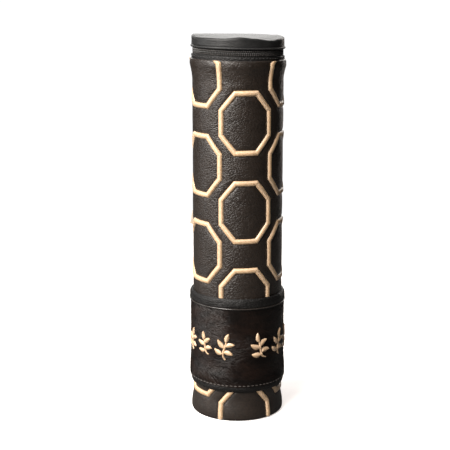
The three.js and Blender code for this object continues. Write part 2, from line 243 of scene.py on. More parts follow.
def pebble_leather(name, shade, cell, depth, roughness, stretch=1.5, gloss=0.5):
    """Pebble-grain hide, drum dyed and lightly glazed: low domes with a crease between them,
    darkened with painted shade.

    A cell is one pebble's width and depth its height, in millimetres.
    """
    material, tree, surface = new_material(name)
    grain = cell * MM
    where = object_pattern(tree, stretch)
    drift = add(tree, "TexNoise", Vector=where, Scale=0.45 / grain, Detail=2.0)
    offset = add(
        tree, "VectorMath", {"operation": "SCALE"},
        _0=drift.outputs["Color"], Scale=grain * 1.8,
    )
    moved = add(tree, "VectorMath", {"operation": "ADD"}, _0=where, _1=offset)
    cells = add(
        tree, "TexVoronoi", {"feature": "SMOOTH_F1"},
        Vector=moved, Scale=1 / grain, Smoothness=0.35,
    )
    domes = add(
        tree, "ValToRGB",
        {"stops": [(0.0, grey(1.0)), (0.35, grey(0.75)), (0.75, grey(0.0))]}, Fac=cells,
    )
    folds = add(
        tree, "TexNoise", Vector=where, Scale=0.1 / grain, Detail=2.0, Roughness=0.5
    )
    low = add(tree, "Bump", Strength=0.5, Distance=grain * 0.22, Height=folds)
    top = add(tree, "Bump", Strength=1.0, Distance=depth * MM, Height=domes, Normal=low)
    # Colour a little lighter on the raised folds and darker in their hollows.
    fold_tone = add(
        tree, "ValToRGB",
        {"stops": [(0.3, darker(shade, 0.85)), (0.7, darker(shade, 1.2))]}, Fac=folds,
    )
    # Painted shade: the colour darkens towards the crease between the domes.
    painted_crease_shade = add(
        tree, "ValToRGB", {"stops": [(0.45, grey(1.0)), (0.8, grey(0.35))]}, Fac=cells
    )
    tone = add(tree, "Mix", MULTIPLY, _0=0.6, _6=fold_tone, _7=painted_crease_shade)
    rough = add(
        tree, "MapRange", Value=folds, _3=roughness - 0.05, _4=roughness + 0.06
    )
    feed(
        tree, surface, Normal=top, Base_Color=tone.outputs[2], Roughness=rough,
        Specular_IOR_Level=gloss,
    )
    return material


def satin_thread(name, shade):
    """Twisted rayon in satin stitch: glossy across the thread, with shadows between threads."""
    material, tree, surface = new_material(name)
    thread_width = 0.45
    uv = add(tree, "UVMap", {"uv_map": "thread"})
    parts = add(tree, "SeparateXYZ", Vector=uv)
    turns = add(
        tree, "Math", {"operation": "MULTIPLY"},
        _0=parts.outputs["X"], _1=math.tau / thread_width,
    )
    lines = add(tree, "Math", {"operation": "SINE"}, _0=turns)
    where = object_pattern(tree)
    wobble = add(tree, "TexNoise", Vector=where, Scale=1 / (1.6 * MM), Detail=2.0)
    spread = add(tree, "TexNoise", Vector=where, Scale=1 / (9 * MM), Detail=2.0)
    height = add(tree, "Math", {"operation": "ADD"}, _0=lines, _1=wobble)
    bump = add(tree, "Bump", Strength=0.5, Distance=0.08 * MM, Height=height)
    along = add(tree, "Tangent", {"direction_type": "UV_MAP", "uv_map": "thread"})
    tone = add(
        tree, "ValToRGB", {"stops": [(0.3, darker(shade, 0.86)), (0.7, shade)]},
        Fac=spread,
    )
    # Painted shade: the thread's colour darkens to a warm brown where its surface sinks.
    painted_recess_shade = add(
        tree, "ValToRGB", {"stops": [(0.25, linear("cdbca2")), (0.55, grey(1.0))]},
        Fac=wobble,
    )
    mixed = add(tree, "Mix", MULTIPLY, _0=0.6, _6=tone, _7=painted_recess_shade)
    feed(
        tree, surface, Normal=bump, Tangent=along, Base_Color=mixed.outputs[2], Roughness=0.52,
        Specular_IOR_Level=1.0, Anisotropic=0.8, Coat_Weight=0.8, Coat_Roughness=0.4,
    )
    return material


def woven(name, shade, yarn, roughness):
    """Fine twill tape: diagonal ridges at the yarn's width, in millimetres."""
    material, tree, surface = new_material(name)
    where = object_pattern(tree)
    ribs = add(
        tree, "TexWave", {"bands_direction": "DIAGONAL"},
        Vector=where, Scale=0.5 / (yarn * MM), Distortion=1.5,
    )
    fuzz = add(tree, "TexNoise", Vector=where, Scale=1 / (yarn * MM), Detail=2.0)
    bump = add(
        tree, "Bump", Strength=0.7, Distance=yarn * MM * 0.3, Height=ribs.outputs["Fac"]
    )
    tone = add(
        tree, "ValToRGB", {"stops": [(0.3, darker(shade, 0.7)), (0.7, shade)]}, Fac=fuzz
    )
    feed(tree, surface, Normal=bump, Base_Color=tone, Roughness=roughness, Sheen_Weight=0.2)
    return material


def velvet_pile(name, shade):
    """Short cotton velvet: matt and deep from the front, with a pale sheen at its edges."""
    material, tree, surface = new_material(name)
    where = object_pattern(tree)
    pile = add(tree, "TexNoise", Vector=where, Scale=1 / (0.5 * MM), Detail=3.0)
    lay = add(tree, "TexNoise", Vector=where, Scale=1 / (22 * MM), Detail=3.0)
    bump = add(tree, "Bump", Strength=0.6, Distance=0.25 * MM, Height=pile)
    tone = add(
        tree, "ValToRGB",
        {"stops": [(0.35, darker(shade, 0.6)), (0.65, darker(shade, 1.2))]}, Fac=lay,
    )
    feed(
        tree, surface, Normal=bump, Base_Color=tone, Roughness=0.95, Sheen_Weight=0.8,
        Sheen_Roughness=0.4, Sheen_Tint=linear("e8a0a8"),
    )
    return material


def mottled(name, stops, width, detail, tall=1, dent=None, **finish):
    """One grain of a width in millimetres shades the surface; a dent is (strength, depth)."""
    material, tree, surface = new_material(name)
    grain = add(
        tree, "TexNoise", Vector=object_pattern(tree, tall), Scale=1 / (width * MM),
        Detail=detail,
    )
    tone = add(tree, "ValToRGB", {"stops": stops}, Fac=grain)
    if dent:
        strength, depth = dent
        finish["Normal"] = add(
            tree, "Bump", Strength=strength, Distance=depth * MM, Height=grain
        )
    feed(tree, surface, Base_Color=tone, **finish)
    return material


def hair_on_hide(name, shade, root):
    """Short glossy hair: a smooth dark strand, a little lighter or darker in broad random patches.
    """
    stops = [(0.35, darker(root, 0.7)), (0.55, shade), (0.75, darker(shade, 1.5))]
    return mottled(name, stops, 14, 3.0, 2.2, Roughness=0.38, Specular_IOR_Level=0.24)


def pressed_board(name, shade):
    """Grey pulp board: matt, with flecks of fibre."""
    stops = [(0.3, darker(shade, 0.75)), (0.7, shade)]
    return mottled(name, stops, 1.2, 4.0, 4, (0.4, 0.1), Roughness=0.9)


def drawn_nylon(name, shade):
    """Nylon monofilament, dyed black: smooth, with a soft highlight on each tooth."""
    stops = [(0.3, darker(shade, 0.8)), (0.8, darker(shade, 1.4))]
    return mottled(name, stops, 2, 3.0, Roughness=0.34, Specular_IOR_Level=0.5)


def plated_zinc(name, shade):
    """Die-cast zinc with a gunmetal plate: brushed, in fine lighter and darker streaks."""
    stops = [(0.3, darker(shade, 0.8)), (0.7, shade)]
    return mottled(name, stops, 2.5, 4.0, 12, (0.15, 0.03), Metallic=1.0, Roughness=0.3)


def studio_floor(name, shade):
    """Matt white paper, with a trace of tooth. It looks whiter to the camera than to the case."""
    material, tree, surface = new_material(name)
    tooth = add(
        tree, "TexNoise", Vector=object_pattern(tree), Scale=1 / (60 * MM), Detail=3.0
    )
    seen = add(tree, "LightPath").outputs["Is Camera Ray"]
    paper = add(
        tree, "ValToRGB", {"stops": [(0.3, darker(shade, 0.99)), (0.7, shade)]},
        Fac=tooth,
    )
    tone = add(
        tree, "Mix", {"data_type": "RGBA"}, _0=seen, _6=darker(shade, 0.14), _7=paper
    )
    lift = add(tree, "Math", {"operation": "MULTIPLY"}, _0=seen, _1=0.6)
    feed(
        tree, surface, Base_Color=tone.outputs[2], Emission_Strength=lift,
        Emission_Color=linear("fff6f2"), Roughness=0.8, Specular_IOR_Level=0.2,
    )
    return material


MATERIALS = {}


def make_materials():
    c = colours()
    MATERIALS.update(
        leather=pebble_leather("pebble_grain_leather", tuple(c.leather), 1.5, 0.2, 0.41, 1.9),
        foot=pebble_leather("smooth_foot_leather", tuple(c.leather), 1.4, 0.07, 0.48),
        strip=pebble_leather("strip_leather", tuple(c.strip), 1.2, 0.24, 0.54, 1.2, 0.32),
        lid=pebble_leather("glazed_lid_leather", tuple(c.lid), 0.8, 0.08, 0.4, gloss=0.28),
        # A glossy edge; its colour, lighter than the leather beside it, is partly a painted
        # highlight.
        edge=pebble_leather("burnished_edge_and_painted_highlight", linear("2f2a27"), 0.6, 0.02, 0.22),
        hide=hair_on_hide("hide_skin", tuple(c.hide), tuple(c.hide)),
        hair=hair_on_hide("hide_hair", tuple(c.hair), tuple(c.hide)),
        thread=satin_thread("gold_satin_thread", tuple(c.thread)),
        black_sewing=woven("black_sewing_thread", linear("1a1918"), 0.3, 0.6),
        sewing=woven("dark_sewing_thread", linear("544d48"), 0.3, 0.6),
        velvet=velvet_pile("wine_velvet", tuple(c.velvet)),
        board=pressed_board("grey_board", tuple(c.board)),
        tape=woven("twill_zip_tape", tuple(c.tape), 0.5, 0.85),
        nylon=drawn_nylon("nylon_coil", tuple(c.nylon)),
        metal=plated_zinc("gunmetal_zinc", tuple(c.metal)),
        ribbon=woven("woven_ribbon", tuple(c.ribbon), 0.6, 0.75),
        floor=studio_floor("white_paper", tuple(c.floor)),
    )


# ---------------------------------------------------------------- shaping tools, in millimetres


def polar(radius, azimuth, z):
    """A point at an azimuth in degrees; 0 is the front and 90 is +X."""
    a = math.radians(azimuth)
    return Vector((radius * math.sin(a), -radius * math.cos(a), z))


def azimuth_of(co):
    return math.degrees(math.atan2(co.x, -co.y))


def smooth(value):
    t = min(1.0, max(0.0, value))
    return t * t * (3 - 2 * t)


def fine(section, step):
    """The same outline with a point at least every step."""
    points = [section[0]]
    for (r0, z0), (r1, z1) in zip(section, section[1:]):
        cuts = max(1, math.ceil(math.hypot(r1 - r0, z1 - z0) / step))
        for i in range(1, cuts + 1):
            points.append((r0 + (r1 - r0) * i / cuts, z0 + (z1 - z0) * i / cuts))
    return points


def arc(out, height, radius, angles):
    """Points of an outline on a circle, at angles in degrees from straight out."""
    turns = [math.radians(a) for a in angles]
    return [(out + radius * math.cos(a), height + radius * math.sin(a)) for a in turns]


def bead(out, height, radius=0.5):
    """The outline of a round cord."""
    return arc(out, height, radius, range(0, 360, 45))


def rounded(inner, outer, low, high, corner, points=4):
    """A wall's outline as a rectangle with its two outer corners rounded."""
    section = [(inner, low)]
    for centre_z, start in ((low + corner, -90), (high - corner, 0)):
        angles = [start + 90 * i / points for i in range(points + 1)]
        section += arc(outer - corner, centre_z, corner, angles)
    return section + [(inner, high)]


def turned(section, steps=192, closed=True, start=0.0, sweep=360.0):
    """A mesh spun round the Z axis from an outline of (radius, height) points."""
    bm = bmesh.new()
    verts = [bm.verts.new(polar(r, start, z)) for r, z in section]
    edges = [bm.edges.new(pair) for pair in zip(verts, verts[1:])]
    if closed:
        edges.append(bm.edges.new((verts[-1], verts[0])))
    full = abs(sweep) >= 360
    bmesh.ops.spin(
        bm, geom=verts + edges, cent=(0, 0, 0), axis=(0, 0, 1), angle=math.radians(sweep),
        steps=steps, use_merge=full,
    )
    bmesh.ops.remove_doubles(bm, verts=bm.verts[:], dist=WELD)
    if not full:
        bmesh.ops.holes_fill(bm, edges=[e for e in bm.edges if e.is_boundary])
    bmesh.ops.recalc_face_normals(bm, faces=bm.faces[:])
    return bm


def patch(bm, along, across, place, size=(1, 1)):
    """A grid whose points go where place(share along, share across) says; UVs in millimetres."""
    uv = bm.loops.layers.uv.get("thread") or bm.loops.layers.uv.new("thread")
    made = bmesh.ops.create_grid(bm, x_segments=along, y_segments=across, size=0.5)["verts"]
    for vert in made:
        u, v = vert.co.x + 0.5, vert.co.y + 0.5
        for loop in vert.link_loops:
            loop[uv].uv = (u * size[0], v * size[1])
        vert.co = place(u, v)
    return made


def turn(co, azimuth):
    """A point made at the front, turned to its azimuth."""
    a = math.radians(azimuth)
    across = co.x * math.cos(a) - co.y * math.sin(a)
    return Vector((across, co.x * math.sin(a) + co.y * math.cos(a), co.z))


def grow(co, factor):
    """Moves a point out from the axis."""
    co.x *= factor
    co.y *= factor


def waves(co, width, tall=2.0):
    """Smooth noise of a width over the surface, squashed along the height."""
    return noise.noise(Vector((co.x, co.y, co.z * tall)) / width)


def ring_waves(co, width, level):
    """Smooth noise of a width round the axis, the same at every height."""
    return noise.noise(Vector((co.x, co.y, level)) / width)


def ripple(bm, wave, past=0.0):
    """Moves the points past a radius in and out by wave(point)."""
    for vert in bm.verts:
        if math.hypot(vert.co.x, vert.co.y) > past:
            grow(vert.co, 1 + wave(vert.co) / BODY_R)


LEAN_DEPTH = 25  # the lean fades out towards this far behind the axis
HEM_SHARE = 0.9  # share of the lid's lean that the hem follows
BAND_SLOPE = 0.014  # drop of the foot band to the right


def shear_point(co, slope):
    """Lets the front drop to the right."""
    co.z -= slope * co.x * smooth((LEAN_DEPTH - co.y) / LEAN_DEPTH)


def shear(bm, slope):
    for vert in bm.verts:
        shear_point(vert.co, slope)


def finish_piece(bm, name, material, body, nodes=(), slot=None, sharp=40):
    """Scales a mesh to metres, makes it an object and ties it to its CAD body."""
    bmesh.ops.scale(bm, vec=(MM, MM, MM), verts=bm.verts[:])
    mesh = bpy.data.meshes.new(name)
    bm.to_mesh(mesh)
    bm.free()
    mesh.polygons.foreach_set("use_smooth", [True] * len(mesh.polygons))
    mesh.set_sharp_from_angle(angle=math.radians(sharp))
    piece = bpy.data.objects.new(name, mesh)
    bpy.context.scene.collection.objects.link(piece)
    mesh.materials.append(MATERIALS[material])
    if body:
        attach(piece, body)
    if nodes:
        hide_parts(*nodes)
    return piece


# ---------------------------------------------------------------- the body's own surface
HEM_HEIGHT = 4.4  # upright hem at the panel's top
FLARE = 11  # height over which the leather flares out to the hem
FOOT_CURL = 1.9  # radius of the foot's lower edge


def skin_radius(z):
    """Outside radius of the panels' leather at a height."""
    peak = CASE_TOP - HEM_HEIGHT
    flare = peak - FLARE
    if z > peak:
        return HEM_OUT - 0.05 * ((z - peak) / (CASE_TOP - peak)) ** 2
    if z > flare:
        return BODY_R + (HEM_OUT - BODY_R) * ((z - flare) / FLARE) ** 1.5
    if z < 2:
        return FOOT_OUT - FOOT_CURL + math.sqrt(max(0.0, FOOT_CURL**2 - (2 - z) ** 2))
    return BODY_R + (FOOT_OUT - BODY_R) * smooth((18 - z) / 14)


def near_hem(z):
    """1 at the hem, fading to 0 where the plain body starts."""
    return smooth((z - CASE_TOP + 16) / 12)


def octagon():
    """The outline of an octagon's outer edge, as (across, up) points listed clockwise."""
    s = sizes()
    w, h = s.octagon_width / 2, s.octagon_height / 2
    f, u = s.octagon_flat / 2, s.octagon_side / 2
    return [(f, h), (w, u), (w, -u), (f, -h), (-f, -h), (-w, -u), (-w, u), (-f, h)]


def inset(points, distance):
    """A convex outline, listed clockwise, moved in by a distance."""
    made = []
    for i, point in enumerate(points):
        before, after = points[i - 1], points[(i + 1) % len(points)]
        a = Vector(point) - Vector(before)
        b = Vector(after) - Vector(point)
        na, nb = Vector((a.y, -a.x)).normalized(), Vector((b.y, -b.x)).normalized()
        shift = (na + nb) / (1 + na.dot(nb)) * distance
        made.append(tuple(Vector(point) + shift))
    return made


COLUMNS, ROWS = 5, 4
SEAM_STRETCH = 1.3  # the octagons beside the seam have a wider left half
DROP = 0.75  # how much higher than half a row the dropped columns sit
FOOT_TOPS = (29.4, 65.9)  # tops of the foot's octagons, in plain and in dropped columns


def octagon_places():
    """Azimuth, centre, lowest and highest point, and stretch of the left half of each octagon."""
    s = sizes()
    half = s.octagon_height / 2
    places = []
    for column in range(COLUMNS):
        azimuth = s.first_column + column * s.column_pitch
        dropped = column % 2 == 0
        stretch = SEAM_STRETCH if column == 0 else 1.0
        top = s.top_row + (s.row_pitch / 2 + DROP if dropped else 0)
        for row in range(ROWS):
            centre = top - row * s.row_pitch - half
            if centre + half > BAND_TOP and centre - half < CASE_TOP - 3:
                places.append((azimuth, centre, BAND_TOP - 1.5, CASE_TOP - 0.1, stretch))
        places.append((azimuth, FOOT_TOPS[dropped] - half, 1.0, BAND_LOW + 3, stretch))
    return places


def bar_distance(azimuth, z, places, sides):
    """Distance along the leather from the nearest stitched bar, in millimetres."""
    nearest = 30.0
    half_bar = sizes().bar_width / 2
    for centre_azimuth, centre_z, low, high, stretch in places:
        away = (azimuth - centre_azimuth + 180) % 360 - 180
        u, v = math.radians(away) * BODY_R, z - centre_z
        if abs(u) > 34 or abs(v) > 37 or not low - 6 < z < high + 6:  # too far off to matter
            continue
        if u < 0:
            u /= stretch
        edge = max(nx * u + nz * v - reach for nx, nz, reach in sides)
        nearest = min(nearest, abs(edge + half_bar) - half_bar)
    return max(0.0, nearest)


def outline_sides():
    """Each side of the octagon as its outward normal and its distance from the middle."""
    points = octagon()
    sides = []
    for i, (x0, z0) in enumerate(points):
        x1, z1 = points[(i + 1) % len(points)]
        normal = Vector((-(z1 - z0), x1 - x0)).normalized()
        if normal.dot(Vector((x0, z0))) < 0:
            normal.negate()
        sides.append((normal.x, normal.y, normal.dot(Vector((x0, z0)))))
    return sides


def shape_leather(bm, inner_edge):
    """Pulls the leather in beside the stitching and lets it swell between, a little slack."""
    s = sizes()
    places, sides = octagon_places(), outline_sides()
    for vert in bm.verts:
        co = vert.co
        radius = math.hypot(co.x, co.y)
        if radius < inner_edge(co.z):
            continue
        gap = bar_distance(azimuth_of(co), co.z, places, sides)
        dip = 0.4 * math.exp(-((gap / 0.9) ** 2))
        swell = s.pillow * (1 - math.exp(-gap / 3.0)) - 0.12 - dip
        slack = 0.18 * waves(co, 22, 0.8)
        slack += 0.06 * waves(co, 6, 1.6)
        hem = near_hem(co.z)
        slack += hem * 0.2 * ring_waves(co, 12, 0)
        grow(co, 1 + (swell + slack) / radius)
        if hem > 0:
            co.z += smooth((co.z - CASE_TOP + 8) / 8) * 0.3 * ring_waves(co, 8, 7.0)
            shear_point(co, hem * s.lid_lean * HEM_SHARE)


# ---------------------------------------------------------------- pieces of the case


def make_upper_panel():
    row = 1.12
    rows = int((CASE_TOP - 1.2 - PANEL_LOW) / row) + 1
    outer = [(skin_radius(PANEL_LOW + row * i), PANEL_LOW + row * i) for i in range(rows)]
    fold = arc(HEM_OUT - 0.95, CASE_TOP - 0.75, 0.75, range(0, 121, 20))
    fold += [(HEM_OUT - 1.35, CASE_TOP - 0.5), (HEM_OUT - 0.95, CASE_TOP - HEM_HEIGHT)]
    inner = [(PANEL_IN, CASE_TOP - 15.4), (PANEL_IN, PANEL_LOW)]
    bm = turned(outer + fold + inner, steps=360)
    shape_leather(bm, lambda z: skin_radius(z) - 0.8)
    finish_piece(
        bm, "upper_leather_panel", "leather", "case", ["upper_panel"], "leather", sharp=60
    )


def make_hem_edge():
    """The hem's folded edge, rubbed glossy: a thin uneven bead along the top of the panel, a little
    lighter than the leather as a painted highlight.
    """
    bm = turned(bead(HEM_OUT - 0.62, CASE_TOP - 0.45), steps=288)
    for vert in bm.verts:
        co = vert.co
        shift = 0.2 * ring_waves(co, 12, 0) + 0.3 * ring_waves(co, 3.5, 4.0)
        grow(co, 1 + shift / HEM_OUT)
        co.z += 0.3 * ring_waves(co, 8, 7.0)
        shear_point(co, sizes().lid_lean * HEM_SHARE)
    finish_piece(bm, "hem_edge", "edge", "case", (), "leather", sharp=180)


def make_lower_panel():
    heights = [0.5 + 0.35 * i for i in range(12)] + [5 + 1.2 * i for i in range(43)]
    outer = [(skin_radius(z), z) for z in heights if z < PANEL_MEET]
    under = [(PANEL_IN - 3.7, FOOT_LOW), (FOOT_OUT - 2.0, FOOT_LOW)]
    inner = [
        (BODY_R, PANEL_MEET), (PANEL_IN, PANEL_MEET), (PANEL_IN, SOLE_HIGH),
        (TUBE_OUT - 3.4, SOLE_HIGH),
    ]
    bm = turned(under + outer + inner, steps=360)
    shape_leather(bm, lambda z: skin_radius(z) - 0.6 if z > 2 else math.inf)
    finish_piece(bm, "lower_leather_panel", "foot", "case", ["lower_panel"], "leather", sharp=60)


THREADS_PER_SIDE = 42
BAR_CUTS, STROKE_CUTS = 8, 6  # points across the padded top of a bar and of a sprig's stroke
BAR_DEPTH, STROKE_DEPTH = 0.8, 0.2  # how far their undersides lie below the surface
SEAM_BAR = 0.45  # the bars nearest the seam are this much flatter


def laid_over(v, cuts):
    """Whether a share round a padded bar is on its top, and its share across the bar."""
    over = v <= cuts / (cuts + 1)
    return over, v * (cuts + 1) / cuts if over else 1 - (v * (cuts + 1) - cuts)


def stitched_bar(bm, centre_azimuth, centre_z, stretch):
    """One octagon in padded satin stitch, wrapped round the body, a row of points per thread."""
    s = sizes()
    outer = octagon()
    inner = inset(outer, s.bar_width)
    count = THREADS_PER_SIDE * len(outer)

    def place(u, v):
        station = u * count
        side = min(int(station / THREADS_PER_SIDE), len(outer) - 1)
        share = station / THREADS_PER_SIDE - side
        following = (side + 1) % len(outer)
        out_point = Vector(outer[side]).lerp(Vector(outer[following]), share)
        in_point = Vector(inner[side]).lerp(Vector(inner[following]), share)
        over, t = laid_over(v, BAR_CUTS)
        flat = out_point.lerp(in_point, t)
        rise = -BAR_DEPTH
        if over:
            thread = 0.05 if round(station) % 2 else -0.05
            edge = min(t, 1 - t) * 2
            height = s.bar_height * (SEAM_BAR if stretch > 1 and flat.x < -12 else 1)
            rise = -BAR_DEPTH + (height + BAR_DEPTH + thread) * (1 - (1 - edge) ** 3)
        z = centre_z + flat.y
        across = flat.x * (stretch if flat.x < 0 else 1)
        azimuth = centre_azimuth + math.degrees(across / BODY_R)
        return polar(skin_radius(min(z, CASE_TOP)) + rise, azimuth, z)

    made = patch(bm, count, BAR_CUTS + 1, place, size=(148.0, s.bar_width))
    bmesh.ops.remove_doubles(bm, verts=made, dist=WELD)


def cut_flat(bm, z, keep_below):
    """Cuts everything past a height and closes the cut."""
    geom = bm.verts[:] + bm.edges[:] + bm.faces[:]
    bmesh.ops.bisect_plane(
        bm, geom=geom, dist=1e-5, plane_co=(0, 0, z), plane_no=(0, 0, 1),
        clear_outer=keep_below, clear_inner=not keep_below,
    )
    open_edges = [e for e in bm.edges if e.is_boundary]
    if open_edges:
        bmesh.ops.holes_fill(bm, edges=open_edges)


def make_octagons():
    s = sizes()
    by_name = {}
    for octagon_place in octagon_places():
        azimuth, _, _, high, _ = octagon_place
        panel = "foot" if high < BAND_TOP else "upper"
        column = round((azimuth - s.first_column) / s.column_pitch) + 1
        by_name.setdefault(f"octagon_stitching_{panel}_{column}", []).append(octagon_place)
    for name, group in by_name.items():
        bm = bmesh.new()
        for azimuth, centre, low, high, stretch in group:
            stitched_bar(bm, azimuth, centre, stretch)
        cut_flat(bm, low, False)
        cut_flat(bm, high, True)
        bmesh.ops.recalc_face_normals(bm, faces=bm.faces[:])
        for vert in bm.verts:
            shear_point(vert.co, near_hem(vert.co.z) * s.lid_lean * HEM_SHARE)
        finish_piece(bm, name, "thread", "case", (), "embroidery_thread", sharp=80)


def hide_radius(z):
    """Outside of the hide: a slight swell low down, and a tuck at its lower edge."""
    plain = BODY_R + 1.75
    share = (z - HIDE_LOW) / (HIDE_HIGH - HIDE_LOW)
    swell = (HIDE_OUT - 0.4 - plain) * math.exp(-(((share - 0.07) / 0.16) ** 2))
    return plain + swell - 0.25 * smooth((0.03 - share) / 0.05)


def make_hide():
    heights = [HIDE_LOW + (HIDE_HIGH - HIDE_LOW) * i / 50 for i in range(51)]
    outer = [(hide_radius(z), z) for z in heights]
    bm = turned([(BAND_IN, HIDE_LOW)] + outer + [(BAND_IN, HIDE_HIGH)], steps=288)
    ripple(bm, lambda co: 0.25 * waves(co, 14, 1.5), BAND_SKIN)
    shear(bm, BAND_SLOPE)
    finish_piece(bm, "hide_skin", "hide", "case", ["hide_band"], "hide", sharp=60)


# A lock of hair at its root, thirds and tip: share of its lift, share of its width
LOCK = ((0.05, 0.7), (0.8, 1.0), (1.0, 0.75), (0.5, 0.0))


def make_hair():
    """Short hair brushed sideways over the hide, in tapered locks with a rounded back."""
    s = sizes()
    draw = random.Random(7)
    bm = bmesh.new()
    for _ in range(s.hair_count):
        azimuth = draw.uniform(-180, 180)
        z = draw.uniform(HIDE_LOW - 0.5, HIDE_HIGH - 0.5)
        swirl = noise.noise(polar(HIDE_OUT, azimuth, z * 1.2) / 26)
        heading = math.radians(-22 + 75 * swirl + draw.gauss(0, 6))
        reach = s.hair_length * draw.uniform(0.6, 1.2)
        width = draw.uniform(0.25, 0.6)
        lift = draw.uniform(0.2, 0.5)
        turning = math.radians(draw.gauss(0, 9))
        rows = []
        for i, (rise, wide) in enumerate(LOCK):
            along = reach * i / 3
            aim = heading + turning * i / 3
            a = azimuth + math.degrees(along * math.cos(aim) / HIDE_OUT)
            height = min(HIDE_HIGH + 0.4, max(HIDE_LOW - 0.6, z + along * math.sin(aim)))
            base = hide_radius(height) + lift * rise
            middle = polar(base, a, height)
            if not wide:
                rows.append([bm.verts.new(middle)])
                continue
            side = polar(1, a + 90, 0) * -math.sin(aim) + Vector((0, 0, 1)) * math.cos(aim)
            half = side * width * wide / 2
            back = polar(base + 0.45 * width * wide, a, height)
            rows.append([bm.verts.new(co) for co in (middle - half, back, middle + half)])
        for low, high in zip(rows, rows[1:]):
            for k in (0, 1):
                last = high[-1] if len(high) == 1 else high[k + 1]
                corners = (low[k], high[0] if len(high) == 1 else high[k], last, low[k + 1])
                bm.faces.new(list(dict.fromkeys(corners)))
    shear(bm, BAND_SLOPE)
    finish_piece(bm, "hide_hair", "hair", "case", (), "hide", sharp=180)


# The top binding's outer face: millimetres in from its widest and up from its foot
ROLL = ((0.9, 0), (0.25, 0.5), (0, 1.6), (0.05, 3.6), (0.35, 5.6), (0.9, 7.0))


def make_bindings():
    section = [(BAND_IN, BINDING_LOW)] + [(BINDING_OUT - x, BINDING_LOW + z) for x, z in ROLL]
    section += [(BINDING_OUT - 1.7, BAND_TOP), (BAND_IN, BAND_TOP - 0.3)]
    bm = turned(fine(section, 0.5), steps=288)
    ripple(bm, lambda co: 0.28 * waves(co, 7) + 0.1 * noise.noise(co / 2.5), BAND_SKIN)
    shear(bm, BAND_SLOPE)
    finish_piece(
        bm, "band_top_roll", "strip", "case", ["band_top_binding"], "binding_leather", sharp=60
    )

    # The binding's lower edge: a glossy bead, lighter than the binding, partly a painted highlight.
    bm = turned(bead(BINDING_OUT - 0.15, BINDING_LOW - 0.05), steps=288)
    shear(bm, BAND_SLOPE)
    finish_piece(bm, "band_top_edge", "edge", "case", (), "binding_leather")

    section = rounded(BAND_IN, FOOT_BINDING_OUT, BAND_LOW, FOOT_BINDING_HIGH, 0.9)
    bm = turned(fine(section, 0.6), steps=288)
    ripple(bm, lambda co: 0.2 * waves(co, 8) - 0.5 * smooth((BAND_LOW + 3 - co.z) / 3), BAND_SKIN)
    shear(bm, BAND_SLOPE)
    finish_piece(
        bm, "band_foot_roll", "strip", "case", ["band_foot_binding"], "binding_leather", sharp=60
    )


def stitch_row(
    name, radius, z, pitch, body, slot, lean, thick, thread="black_sewing", start=-180, sweep=360
):
    """A row of topstitches: short rounded threads that dip into the leather at both ends."""
    bm = bmesh.new()
    count = int(math.tau * radius * sweep / 360 / pitch)
    for i in range(count):
        azimuth = start + sweep * (i + 0.5) / count
        made = bmesh.ops.create_uvsphere(bm, u_segments=8, v_segments=5, radius=1.0)["verts"]
        for vert in made:
            x, y, up = vert.co.x * pitch * 0.36, vert.co.y * thick, vert.co.z * thick
            vert.co = turn(polar(radius - y, 0, z + up) + Vector((x, 0, 0)), azimuth)
    shear(bm, lean)
    finish_piece(bm, name, thread, body, (), slot, sharp=180)


def make_stitch_rows():
    lean = sizes().lid_lean
    stitch_row(
        "foot_topstitch", hide_radius(HIDE_LOW) + 0.65, HIDE_LOW + 0.5, 3.4, "case",
        "binding_leather", BAND_SLOPE, 0.32, "sewing",
    )
    stitch_row(
        "collar_topstitch", COLLAR_OUT, COLLAR_HIGH - 1.2, 3.0, "case", "binding_leather", lean,
        0.28,
    )
    stitch_row(
        "flange_topstitch", FLANGE_OUT, (FLANGE_LOW + FLANGE_HIGH) / 2, 3.0, "lid",
        "lid_leather", lean, 0.2,
    )


def stroke(bm, path, widths, height, rows, base):
    """One satin-stitched stroke: path and half widths by share, threads laid across it."""
    steps = [Vector(path(i / 20)) for i in range(21)]
    reach = sum((a - b).length for a, b in zip(steps, steps[1:]))

    def place(u, v):
        here, ahead = Vector(path(max(0.0, u - 0.01))), Vector(path(min(1.0, u + 0.01)))
        along = (ahead - here).normalized()
        over, t = laid_over(v, STROKE_CUTS)
        flat = Vector(path(u)) + Vector((-along.y, along.x)) * (2 * t - 1) * widths(u)
        rise = -STROKE_DEPTH
        if over:
            thread = 0.04 if round(u * rows) % 2 else -0.04
            full = min(1.0, widths(u) / 0.9)
            edge = min(t, 1 - t) * 2
            dome = (1.35 * edge - 0.35 * edge**2) ** 0.7
            rise = -STROKE_DEPTH + (height + STROKE_DEPTH + thread) * dome * full
        return polar(base(flat.y) + rise, math.degrees(flat.x / HIDE_OUT), flat.y)

    made = patch(bm, rows, STROKE_CUTS + 1, place, size=(reach, 3.0))
    bmesh.ops.remove_doubles(bm, verts=made, dist=WELD)


def bend(points, share):
    """A point on the smooth curve through three or four control points."""
    work = [Vector(p) for p in points]
    while len(work) > 1:
        work = [a.lerp(b, share) for a, b in zip(work, work[1:])]
    return tuple(work[0])


def leaf(bm, root, tip, bow, width, base):
    """A pointed leaf from its root to its tip."""
    a, b = Vector(root), Vector(tip)
    side = Vector((-(b - a).y, (b - a).x)).normalized() * bow
    path = lambda t: bend([a, (a + b) / 2 + side, b], t)
    widths = lambda t: max(0.02, width * math.sin(math.pi * min(1.0, t**0.8)) ** 0.8)
    stroke(bm, path, widths, 1.25, int((b - a).length / 0.42), base)


def stem(bm, points, width, base):
    path = lambda t: bend(points, t)
    widths = lambda t: width * (0.55 + 0.45 * math.sin(math.pi * t))
    span_length = sum((Vector(a) - Vector(b)).length for a, b in zip(points, points[1:]))
    stroke(bm, path, widths, 1.05, int(span_length / 0.45), base)


